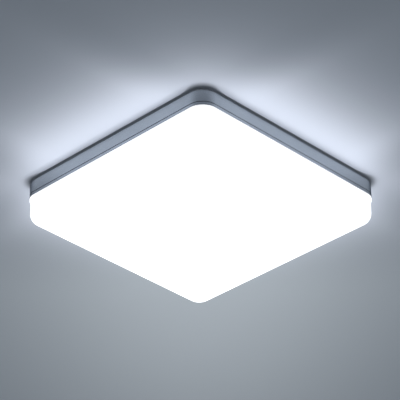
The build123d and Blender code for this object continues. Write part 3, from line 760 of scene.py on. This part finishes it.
@dataclass
class SealLoop:
    """A soft strip that runs round the light in one closed loop.

    Attributes:
        node: Solid-model piece that it stands for.
        body: Body that it rides on.
        slot: Material slot of the record; not used.
        finish: Its finish.
        corner: Radius of its outer corners.
        wall: Width of the strip.
        bulge: How far its pressed sides swell, as a share of its height.
        corner_steps: Stretches in each corner.
        side_steps: Stretches in each side.
        profile_steps: Stretches round its section.
        squareness: Power that flattens the section where it is pressed; 1 leaves it round.
    """

    node: str
    body: str
    slot: str
    finish: Finish
    corner: float
    wall: float
    bulge: float
    corner_steps: int = 16
    side_steps: int = 48
    profile_steps: int = 12
    squareness: float = 0.5

    def build(self) -> bpy.types.Object:
        """Sweep the strip's pressed profile round the loop.

        Returns:
            The strip.
        """
        low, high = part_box(self.node)
        height = high.z - low.z
        middle = (high.z + low.z) / 2
        ring = self.densified(rounded_square(high.x, self.corner, self.corner_steps))
        mesh = bmesh.new()
        rows = []
        for point, outward in ring:
            row = []
            for step in range(self.profile_steps):
                across, up = self.profile(step / self.profile_steps, height)
                row.append(mesh.verts.new(point + outward * across + Vector((0.0, 0.0, middle + up))))
            rows.append(row)
        for here, after in zip(rows, rows[1:] + rows[:1]):
            for step in range(self.profile_steps):
                beside = (step + 1) % self.profile_steps
                face = mesh.faces.new((here[step], after[step], after[beside], here[beside]))
                face.smooth = True
        bmesh.ops.recalc_face_normals(mesh, faces=mesh.faces)
        data = bpy.data.meshes.new(self.node + "_strip")
        mesh.to_mesh(data)
        mesh.free()
        strip = bpy.data.objects.new(self.node + "_strip", data)
        bpy.context.scene.collection.objects.link(strip)
        data.materials.append(self.finish.material())
        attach(strip, self.body)
        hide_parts(self.node)
        LOG.info("%s: %s", strip.name, self.finish.name)
        return strip

    def densified(self, ring: list[tuple[Vector, Vector]]) -> list[tuple[Vector, Vector]]:
        """Divide the long straight stretches, so that the strip's faces stay even.

        Args:
            ring: Points with their outward directions.

        Returns:
            The same walk with more points on its sides.
        """
        dense = []
        for here, after in zip(ring, ring[1:] + ring[:1]):
            dense.append(here)
            if (after[0] - here[0]).length > self.corner:
                for step in range(1, self.side_steps):
                    dense.append((here[0].lerp(after[0], step / self.side_steps), here[1]))
        return dense

    def profile(self, share: float, height: float) -> tuple[float, float]:
        """Point of the strip's section: flat where it is pressed, round at its free sides.

        Args:
            share: Place along the section, from 0 to 1.
            height: Height of the strip.

        Returns:
            Distance outwards, at most 0, and height from the middle.
        """
        angle = share * 2 * math.pi
        swell = self.bulge * height
        half = self.wall / 2 - swell
        round_off = math.copysign(abs(math.cos(angle)) ** self.squareness, math.cos(angle))
        up = math.copysign(abs(math.sin(angle)) ** self.squareness, math.sin(angle)) * height / 2
        across = round_off * (half + swell * math.cos(math.pi * up / height) ** 2)
        return across - self.wall / 2, up


@dataclass
class CeilingBracket:
    """The strap on the ceiling with its spring clips and rivets."""

    def build(self, nodes: dict[str, bpy.types.Object]) -> None:
        """Dress the strap, the clips and the rivets.

        Args:
            nodes: Pieces of the solid model by name.
        """
        dress(nodes, GALVANISED_STEEL, ["mounting_bracket"])
        dress(nodes, SPRING_STEEL, ["bracket_spring_clips"])
        dress(nodes, RIVET_ALUMINIUM, ["bracket_rivets"])


@dataclass
class Chassis:
    """The grey side frame, the steel plate in it and what is fixed to the plate.

    Attributes:
        gasket_wall: Width of the foam strip.
        gasket_corner: Radius of its outer corners.
        seal_wall: Width of the rim seal.
        seal_corner: Radius of its outer corners.
        gasket_bulge: How far the foam swells, as a share of its height.
        seal_bulge: How far the rim seal swells.
        screws: Zinc-plated pieces on the plate.
    """

    gasket_wall: float = 3.0 * MM
    gasket_corner: float = 9.8 * MM
    seal_wall: float = 1.3 * MM
    seal_corner: float = 18.8 * MM
    gasket_bulge: float = 0.12
    seal_bulge: float = 0.2
    screws: list[str] = field(
        default_factory=lambda: ["frame_screws", "chassis_standoffs", "diffuser_clip_screws"]
    )

    def build(self, nodes: dict[str, bpy.types.Object]) -> None:
        """Dress the frame and the plate, and model the two soft strips.

        Args:
            nodes: Pieces of the solid model by name.
        """
        dress(nodes, SILVER_LACQUER, ["side_frame"])
        dress(nodes, POWDER_COAT, ["chassis_plate"])
        dress(nodes, WHITE_ABS, ["gasket_frame"])
        dress(nodes, GALVANISED_STEEL, ["catch_hooks"])
        dress(nodes, SPRING_STEEL, ["diffuser_clips"])
        dress(nodes, ZINC_PLATE, self.screws)
        dress(nodes, RUBBER, ["wire_grommet"])
        foam = SealLoop(
            "ceiling_gasket", "lamp", "foam", FOAM, self.gasket_corner, self.gasket_wall, self.gasket_bulge
        )
        foam.build()
        seal = SealLoop(
            "rim_gasket", "lamp", "silicone_grey", SILICONE, self.seal_corner, self.seal_wall, self.seal_bulge
        )
        seal.build()


@dataclass
class LightBoard:
    """The LED board with its packages, lenses, screws and plug."""

    def build(self, nodes: dict[str, bpy.types.Object]) -> None:
        """Dress the board and what is on it.

        Args:
            nodes: Pieces of the solid model by name.
        """
        dress(nodes, WHITE_MASK, ["led_board"])
        dress(nodes, WHITE_NYLON, ["led_packages", "led_connector"])
        dress(nodes, YELLOW_PHOSPHOR, ["led_phosphor"])
        dress(nodes, CLEAR_ACRYLIC, ["led_lenses"])
        dress(nodes, ZINC_PLATE, ["board_screws"])
        dress(nodes, RED_PVC, ["led_plus_wire"])
        dress(nodes, BLACK_PVC, ["led_minus_wire"])


@dataclass
class Driver:
    """The driver's case and what is in it."""

    def build(self, nodes: dict[str, bpy.types.Object]) -> None:
        """Dress the case, the lid, the circuit and the screws.

        Args:
            nodes: Pieces of the solid model by name.
        """
        dress(nodes, DRIVER_SHELL, ["driver_case", "driver_lid"])
        dress(nodes, CIRCUIT_GREEN, ["driver_board"])
        dress(nodes, FERRITE, ["driver_transformer"])
        dress(nodes, SLEEVE, ["driver_capacitors"])
        dress(nodes, ZINC_PLATE, ["driver_screws"])


@dataclass
class Terminal:
    """The terminal block with its levers, the mains leads and the cord clamp."""

    def build(self, nodes: dict[str, bpy.types.Object]) -> None:
        """Dress the block, the levers, the leads and the clamp.

        Args:
            nodes: Pieces of the solid model by name.
        """
        dress(nodes, GREY_NYLON, ["terminal_block"])
        dress(nodes, ORANGE_NYLON, ["lever_live", "lever_neutral"])
        dress(nodes, WHITE_NYLON, ["cord_clamp"])
        dress(nodes, ZINC_PLATE, ["terminal_screws", "cord_clamp_screws"])
        dress(nodes, BROWN_PVC, ["live_wire"])
        dress(nodes, BLUE_PVC, ["neutral_wire"])


@dataclass
class Cover:
    """The opal diffuser."""

    def build(self, nodes: dict[str, bpy.types.Object]) -> None:
        """Dress the diffuser."""
        dress(nodes, OPAL_ACRYLIC, ["diffuser"])


@dataclass(frozen=True)
class PaintedHalo:
    """Painted light: two tones of the ceiling, of which the first gives way to the second with distance.

    Attributes:
        tone: Colour close by, sRGB hex.
        tone_away: Colour far away, sRGB hex.
        reach: Distance where the two are mixed in equal parts.
        falloff: Power of the distance.
    """

    tone: str
    tone_away: str
    reach: float
    falloff: float = 2.5

    def colour(self, tree: bpy.types.NodeTree, distance: bpy.types.NodeSocket) -> bpy.types.NodeSocket:
        """Mix the two tones over a distance.

        Args:
            tree: Node tree of the ceiling's material.
            distance: Socket with the distance.

        Returns:
            Socket with the colour.
        """
        ratio = calc(tree, "DIVIDE", calc(tree, "MAXIMUM", distance, 0.0), self.reach)
        weaker = calc(tree, "ADD", calc(tree, "POWER", ratio, self.falloff), 1.0)
        share = calc(tree, "DIVIDE", 1.0, weaker)
        return blend(tree, share, linear(self.tone_away), linear(self.tone))


@dataclass(frozen=True)
class Softbox:
    """A square soft lamp that points at the light.

    Attributes:
        name: Its name.
        spot: Its place.
        width: Its side.
        watts: Its power.
        mirrored: Whether shiny pieces mirror it.
    """

    name: str
    spot: tuple[float, float, float]
    width: float
    watts: float
    mirrored: bool = True

    def hang(self) -> None:
        """Add the lamp to the scene, hidden from the view itself."""
        data = bpy.data.lights.new(self.name, "AREA")
        data.shape = "SQUARE"
        data.size = self.width
        data.energy = self.watts
        lamp = bpy.data.objects.new(self.name, data)
        lamp.location = self.spot
        lamp.rotation_euler = (-Vector(self.spot)).to_track_quat("-Z", "Y").to_euler()
        lamp.visible_camera = False
        lamp.visible_glossy = self.mirrored
        bpy.context.scene.collection.objects.link(lamp)


@dataclass
class Stage:
    """The ceiling with its painted halo and painted shade, the pale floor and the soft light; none of it is
    part of the light.

    Attributes:
        view_azimuth: Direction of the main view, in degrees.
        edge: Half the side of the light.
        corner: Radius of its corners.
        tray_inset: How far inside the light's outline the ceiling's part over the back tray ends.
        reach: Half width of the ceiling.
        floor_drop: Distance from the ceiling to the floor.
        floor_reach: Half width of the floor.
        lift: How far the ceiling lies above the bracket's face, so that the two don't mix.
        corner_steps: Stretches in each corner of the ceiling's part over the tray.
        painted_gap_shade: Painted shade of the ceiling over the light and in the gap round it, sRGB hex.
        painted_shade_start: Distance from the light's outline where that painted shade begins to fade.
        painted_shade_fade: Distances where it has faded out along a side and at a corner.
        painted_shade_turn: Distances from an axis between which the first gives way to the second.
        corner_from: Distance from an axis where a corner of the painted halo begins.
        corner_loss: How much further off the painted halo seems at a corner.
        painted_halo_near: Painted light: tones of the ceiling on the side of the main view, by distance from
            the light.
        painted_halo_far: Painted light: tones on the far side, by distance from the middle.
        far_stretch: How much of a distance along the main view counts on the far side.
        side_span: Distance behind the middle where the far side's tones have taken over.
        floor_tone: Colour of the floor, sRGB hex.
        floor_look: How pale the floor looks, sRGB hex.
        air_tone: Colour of the even light from all round, sRGB hex.
        air_light: Strength of that light.
        air_look: How pale the surroundings look.
        side_reach: Distance of the softboxes at the sides.
        side_drop: How far below the ceiling they hang.
        side_width: Side of each.
        side_watts: Power of the left one and of the right one.
        low_softbox: The one near the floor.
        top_softbox: The one above, for the back.
    """

    view_azimuth: float
    edge: float
    corner: float
    tray_inset: float = 0.5 * MM
    reach: float = 30.0
    floor_drop: float = 2.4
    floor_reach: float = 40.0
    lift: float = 0.1 * MM
    corner_steps: int = 24
    # Painted shade: the dark tone over the light and in the gap round it.
    painted_gap_shade: str = "#868D97"
    painted_shade_start: float = -0.8 * MM
    painted_shade_fade: tuple[float, float] = (0.3 * MM, 9.5 * MM)
    painted_shade_turn: tuple[float, float] = (0.110, 0.146)
    corner_from: float = 0.075
    corner_loss: float = 0.050
    # Painted light: the halo tones that the ceiling is painted with.
    painted_halo_near: PaintedHalo = PaintedHalo("#DFE6F4", "#646C75", 0.077)
    painted_halo_far: PaintedHalo = PaintedHalo("#B0B8BF", "#5F6770", 0.260)
    far_stretch: float = 0.35
    side_span: float = 0.28
    floor_tone: str = "#DFE2E6"
    floor_look: str = "#C9CDD2"
    air_tone: str = "#EEF2F8"
    air_light: float = 0.30
    air_look: float = 0.80
    side_reach: float = 2.2
    side_drop: float = 0.55
    side_width: float = 1.6
    side_watts: tuple[float, float] = (17.0, 21.0)
    low_softbox: Softbox = Softbox("floor softbox", (0.0, 0.0, -2.2), 0.8, 36.0)
    top_softbox: Softbox = Softbox("top softbox", (0.3, -0.4, 1.5), 1.4, 12.0)

    def build(self) -> None:
        """Set up the ceiling, the floor, the lamps and the world."""
        self.ceiling()
        self.floor()
        self.lamps()
        self.world()

    def sheet(
        self, name: str, points: list[Vector], faces: list[tuple[int, ...]], paint: bpy.types.Material
    ) -> bpy.types.Object:
        """Make a flat sheet that isn't part of the light.

        Args:
            name: Name of the sheet.
            points: Its points.
            faces: Its faces, by the numbers of their points.
            paint: Its material.

        Returns:
            The sheet, marked as stage.
        """
        data = bpy.data.meshes.new(name)
        data.from_pydata(points, [], faces)
        data.materials.append(paint)
        sheet = bpy.data.objects.new(name, data)
        bpy.context.scene.collection.objects.link(sheet)
        sheet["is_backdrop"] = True
        return sheet

    def ceiling(self) -> None:
        """Hang the ceiling: a painted halo near the light and painted shade in the gap round it, seen from
        below only.

        Over the back tray it hides nothing from the lamps, so that views from above
        show the tray.
        """
        walk = rounded_square(self.edge - self.tray_inset, self.corner - self.tray_inset, self.corner_steps)
        rim = [point + Vector((0.0, 0.0, self.lift)) for point, outward in walk]
        spread = self.reach / self.edge
        outer = [Vector((point.x * spread, point.y * spread, self.lift)) for point in rim]
        count = len(rim)
        ring = [(n, n + count, (n + 1) % count + count, (n + 1) % count) for n in range(count)]
        ring = [tuple(reversed(face)) for face in ring]
        self.sheet("ceiling", rim + outer, ring, self.ceiling_paint("ceiling paint", over_tray=False))
        lid = [tuple(reversed(range(count)))]
        self.sheet("ceiling_over_tray", rim, lid, self.ceiling_paint("tray ceiling paint", over_tray=True))

    def ceiling_paint(self, name: str, over_tray: bool) -> bpy.types.Material:
        """Make paint that shows from below only, carrying the painted halo and painted shade.

        Args:
            name: Name of the material.
            over_tray: Whether it hides nothing from the lamps.

        Returns:
            The material.
        """
        material = bpy.data.materials.new(name)
        material.use_nodes = True
        tree = material.node_tree
        tree.nodes.clear()
        paint = add_node(tree, "ShaderNodeBsdfDiffuse", {"Color": self.ceiling_tone(tree)})
        clear = add_node(tree, "ShaderNodeBsdfTransparent")
        side = add_node(tree, "ShaderNodeNewGeometry")
        hidden = side.outputs["Backfacing"]
        if over_tray:
            path = add_node(tree, "ShaderNodeLightPath")
            unseen = calc(tree, "SUBTRACT", 1.0, path.outputs["Is Camera Ray"])
            hidden = calc(tree, "MAXIMUM", hidden, unseen)
        both = add_node(tree, "ShaderNodeMixShader", {0: hidden, 1: paint.outputs[0], 2: clear.outputs[0]})
        add_node(tree, "ShaderNodeOutputMaterial", {"Surface": both.outputs[0]})
        return material

    def ceiling_tone(self, tree: bpy.types.NodeTree) -> bpy.types.NodeSocket:
        """Grade the ceiling's colour: a painted halo round the light, weaker at its corners, and painted
        shade over the light and in the gap round it.

        Args:
            tree: Node tree of the ceiling's material.

        Returns:
            Socket with the colour.
        """
        aside, nearest = beside_axes(tree)
        distance = self.from_outline(tree, aside)
        further = soft_step(tree, nearest, self.corner_from, self.edge, 0.0, self.corner_loss)
        near_tone = self.painted_halo_near.colour(tree, calc(tree, "ADD", distance, further))
        place = add_node(tree, "ShaderNodeTexCoord")
        turned = add_node(
            tree,
            "ShaderNodeVectorRotate",
            {"Vector": place.outputs["Object"], "Angle": -math.radians(self.view_azimuth)},
            rotation_type="Z_AXIS",
        )
        squeezed = vector_calc(tree, "MULTIPLY", turned.outputs[0], (1.0, self.far_stretch, 0.0))
        far_tone = self.painted_halo_far.colour(tree, vector_calc(tree, "LENGTH", squeezed))
        away = add_node(tree, "ShaderNodeSeparateXYZ", {0: turned.outputs[0]})
        behind = soft_step(tree, away.outputs["Y"], 0.0, self.side_span)
        open_tone = blend(tree, behind, near_tone, far_tone)
        # Painted shade: the gap tone next to the outline, fading out over a wider stretch at the corners.
        fade = soft_step(tree, nearest, *self.painted_shade_turn, *self.painted_shade_fade)
        clear = soft_step(tree, distance, self.painted_shade_start, fade)
        return blend(tree, clear, linear(self.painted_gap_shade), open_tone)

    def from_outline(self, tree: bpy.types.NodeTree, aside: bpy.types.NodeSocket) -> bpy.types.NodeSocket:
        """Measure how far a point of the ceiling lies outside the light's outline.

        Args:
            tree: Node tree of the ceiling's material.
            aside: Socket with the point's distances from the axes.

        Returns:
            Socket with the distance, below 0 inside the outline.
        """
        straight = self.edge - self.corner
        beyond = vector_calc(tree, "SUBTRACT", aside, (straight, straight, 1.0))
        outside = vector_calc(tree, "MAXIMUM", beyond, (0.0, 0.0, 0.0))
        return calc(tree, "SUBTRACT", vector_calc(tree, "LENGTH", outside), self.corner)

    def floor(self) -> None:
        """Lay the pale floor."""
        material = bpy.data.materials.new("floor paint")
        material.use_nodes = True
        tree = material.node_tree
        tree.nodes.clear()
        paint = add_node(tree, "ShaderNodeBsdfDiffuse", {"Color": linear(self.floor_tone)})
        pale = add_node(
            tree, "ShaderNodeEmission", {"Color": linear(self.floor_look), "Strength": self.looked_at(tree)}
        )
        both = add_node(tree, "ShaderNodeAddShader", {0: paint.outputs[0], 1: pale.outputs[0]})
        add_node(tree, "ShaderNodeOutputMaterial", {"Surface": both.outputs[0]})
        corners = ((-1, -1), (1, -1), (1, 1), (-1, 1))
        points = [Vector((x * self.floor_reach, y * self.floor_reach, -self.floor_drop)) for x, y in corners]
        self.sheet("floor", points, [(0, 1, 2, 3)], material)

    def looked_at(self, tree: bpy.types.NodeTree) -> bpy.types.NodeSocket:
        """Tell rays that look at the surroundings from rays that carry their light.

        Args:
            tree: Node tree of the floor or the world.

        Returns:
            Socket with 1 for a ray from the view, a mirror or glass.
        """
        path = add_node(tree, "ShaderNodeLightPath")
        mirrored = calc(tree, "MAXIMUM", path.outputs["Is Glossy Ray"], path.outputs["Is Transmission Ray"])
        return calc(tree, "MAXIMUM", path.outputs["Is Camera Ray"], mirrored)

    def lamps(self) -> None:
        """Hang a softbox at each side of the main view, one low down, and one above for the back.

        The two at the sides aren't mirrored in the lacquer, which keeps its grey from all sides.
        """
        turn = math.radians(self.view_azimuth)
        for name, side, watts in zip(("left softbox", "right softbox"), (-1, 1), self.side_watts):
            reach = side * self.side_reach
            spot = (reach * math.cos(turn), reach * math.sin(turn), -self.side_drop)
            Softbox(name, spot, self.side_width, watts, mirrored=False).hang()
        self.low_softbox.hang()
        self.top_softbox.hang()

    def world(self) -> None:
        """Fill the shadows with a soft, even, slightly cool light."""
        world = bpy.data.worlds.new("soft surroundings")
        bpy.context.scene.world = world
        world.use_nodes = True
        tree = world.node_tree
        tree.nodes.clear()
        level = add_node(
            tree,
            "ShaderNodeMapRange",
            {"Value": self.looked_at(tree), "To Min": self.air_light, "To Max": self.air_look},
        )
        air = add_node(
            tree,
            "ShaderNodeBackground",
            {"Color": linear(self.air_tone), "Strength": level.outputs["Result"]},
        )
        add_node(tree, "ShaderNodeOutputWorld", {"Surface": air.outputs[0]})


@dataclass
class Viewpoint:
    """The photograph's view: from below, on to a corner, through a long lens.

    Attributes:
        azimuth: Turn round the light, in degrees.
        elevation: Height of the view, in degrees; below the light it is negative.
        roll: Tilt of the frame, in degrees.
        distance: Distance to the middle of the light.
        lens_mm: Focal length.
        sensor_mm: Width of the sensor.
        clip_end: How far the view reaches.
        aim_right: How far the aim lies to the right of the middle.
        aim_up: How far it lies above the middle.
    """

    azimuth: float = 44.084
    elevation: float = -31.532
    roll: float = -0.610
    distance: float = 2.772
    lens_mm: float = 209.26
    sensor_mm: float = 36.0
    clip_end: float = 100.0
    aim_right: float = -0.92 * MM
    aim_up: float = 3.27 * MM

    def place(self, middle: Vector) -> None:
        """Set up the camera.

        Args:
            middle: Middle of the light.
        """
        turn, rise, tilt = (math.radians(a) for a in (self.azimuth, self.elevation, self.roll))
        back = Vector((math.sin(turn) * math.cos(rise), -math.cos(turn) * math.cos(rise), math.sin(rise)))
        level = Vector((math.cos(turn), math.sin(turn), 0.0))
        plumb = back.cross(level)
        right = level * math.cos(tilt) + plumb * math.sin(tilt)
        up = plumb * math.cos(tilt) - level * math.sin(tilt)
        spot = middle + right * self.aim_right + up * self.aim_up + back * self.distance
        data = bpy.data.cameras.new("view")
        data.lens = self.lens_mm
        data.sensor_width = self.sensor_mm
        data.clip_end = self.clip_end
        camera = bpy.data.objects.new("view", data)
        camera.matrix_world = Matrix.Translation(spot) @ Matrix((right, up, back)).transposed().to_4x4()
        bpy.context.scene.collection.objects.link(camera)
        bpy.context.scene.camera = camera


def main() -> None:
    """Load the solid model, measure its box, aim the view, dress it and set the stage."""
    logging.basicConfig(level=logging.INFO, format="%(message)s")
    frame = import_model()
    solid_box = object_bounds()
    nodes = frame["nodes"]
    view = Viewpoint()
    view.place((solid_box[0] + solid_box[1]) / 2)
    for part in (CeilingBracket(), Chassis(), LightBoard(), Driver(), Terminal(), Cover()):
        part.build(nodes)
    Stage(view.azimuth, solid_box[1].x, CORNER_RADIUS).build()
    bpy.context.scene.view_settings.view_transform = "Standard"


if __name__ == "__main__":
    main()
